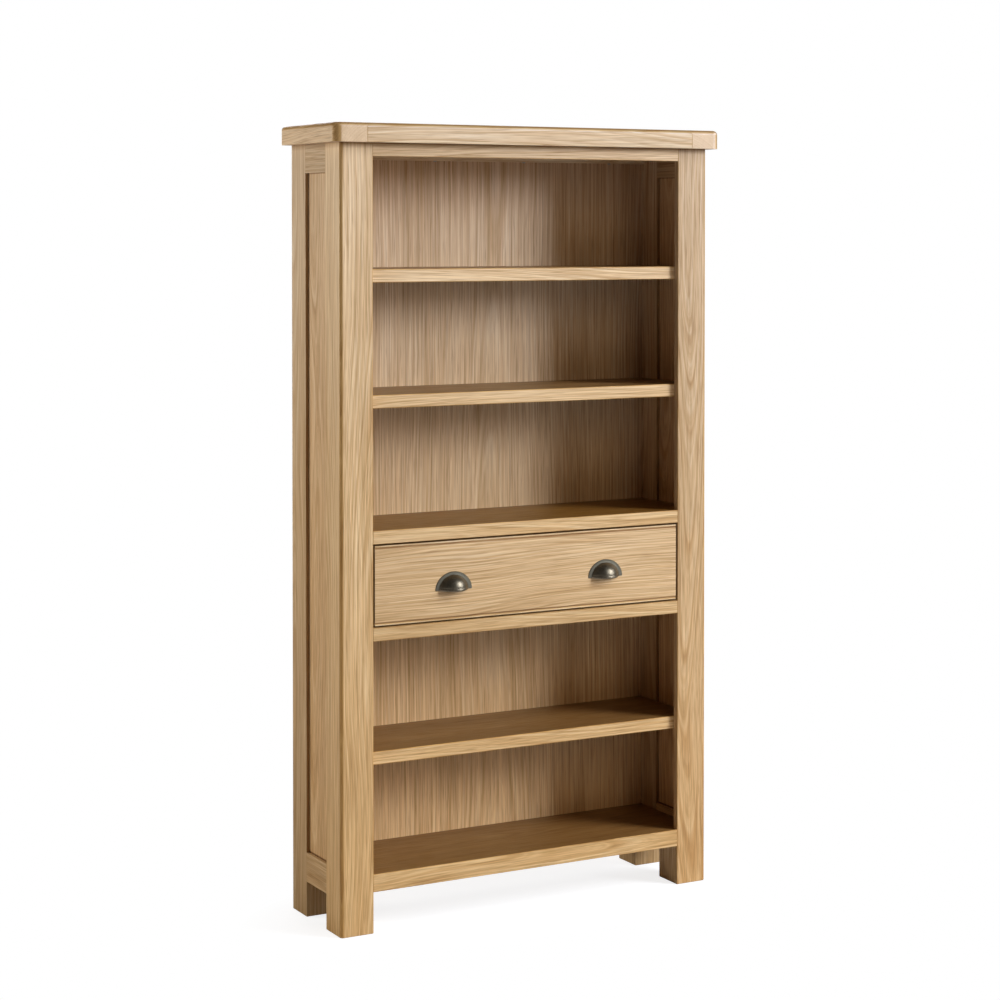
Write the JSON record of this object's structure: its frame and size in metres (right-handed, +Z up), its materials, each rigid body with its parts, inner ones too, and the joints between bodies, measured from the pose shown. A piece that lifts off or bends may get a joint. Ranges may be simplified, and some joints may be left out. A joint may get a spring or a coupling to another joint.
{
  "type": "bookcase",
  "caption": "Tall open oak bookcase with loose shelves, a drawer with dark cup pulls and a top with breadboard ends.",
  "frame": {"origin": "on the floor under the middle of the top board's outline", "axes": "+Z up, +X to the right along the width as seen from the front, +Y from front to back, so the drawer opens towards -Y"},
  "size_m": [1.01, 0.288, 1.8],
  "materials": {
    "front_post_left": "satin lacquered oak, upright grain",
    "front_post_right": "satin lacquered oak, upright grain",
    "rear_post": "satin lacquered oak, upright grain",
    "side_rail": "satin lacquered oak, grain from front to back",
    "side_panel": "satin lacquered oak veneer, upright grain",
    "front_rail": "satin lacquered oak, grain along the width",
    "fixed_board": "satin lacquered oak, grain along the width",
    "back_rail": "satin lacquered oak, grain along the width",
    "shelf": "satin lacquered oak, grain along the width",
    "back_panel": "satin lacquered oak veneer, upright grain",
    "top_centre": "satin lacquered oak, grain along the width",
    "top_end": "satin lacquered oak, grain from front to back",
    "batten": "planed oak, not lacquered",
    "runner": "planed oak, not lacquered",
    "drawer_front": "satin lacquered oak, grain along the width",
    "drawer_box": "planed oak, matt",
    "drawer_bottom": "thin plywood, matt",
    "pull_metal": "dark bronzed cast metal with worn rims",
    "screw_steel": "zinc plated steel",
    "pin_steel": "nickel plated steel"
  },
  "bodies": {
    "carcass": {"front_post_left": "front_post_left", "front_post_right": "front_post_right", "rear_post_left": "rear_post", "rear_post_right": "rear_post", "side_top_rail_left": "side_rail", "side_top_rail_right": "side_rail", "side_bottom_rail_left": "side_rail", "side_bottom_rail_right": "side_rail", "side_panel_left": "side_panel", "side_panel_right": "side_panel", "front_top_rail": "front_rail", "drawer_top_rail": "front_rail", "drawer_bottom_rail": "front_rail", "bottom_front_rail": "front_rail", "bottom_board": "fixed_board", "drawer_top_board": "fixed_board", "drawer_bottom_board": "fixed_board", "bottom_back_rail": "back_rail", "top_back_rail": "back_rail", "shelf_lower": "shelf", "shelf_middle": "shelf", "shelf_upper": "shelf", "back_panel": "back_panel", "top_centre_board": "top_centre", "top_end_left": "top_end", "top_end_right": "top_end", "top_batten_front": "batten", "top_batten_left": "batten", "top_batten_right": "batten", "drawer_runner_left": "runner", "drawer_runner_right": "runner", "drawer_kicker_left": "runner", "drawer_kicker_right": "runner", "drawer_guide_left": "runner", "drawer_guide_right": "runner", "back_panel_screws": "screw_steel", "top_fixing_screws": "screw_steel", "shelf_pins": "pin_steel"},
    "drawer": {"drawer_front": "drawer_front", "drawer_side_left": "drawer_box", "drawer_side_right": "drawer_box", "drawer_back": "drawer_box", "drawer_bottom": "drawer_bottom", "cup_pull_left": "pull_metal", "cup_pull_right": "pull_metal", "cup_pull_screws": "screw_steel"}
  },
  "joints": [
    {"name": "drawer_slide", "type": "slide", "parent": "carcass", "child": "drawer", "axis": [0, -1, 0], "range_m": [0, 0.17]}
  ]
}
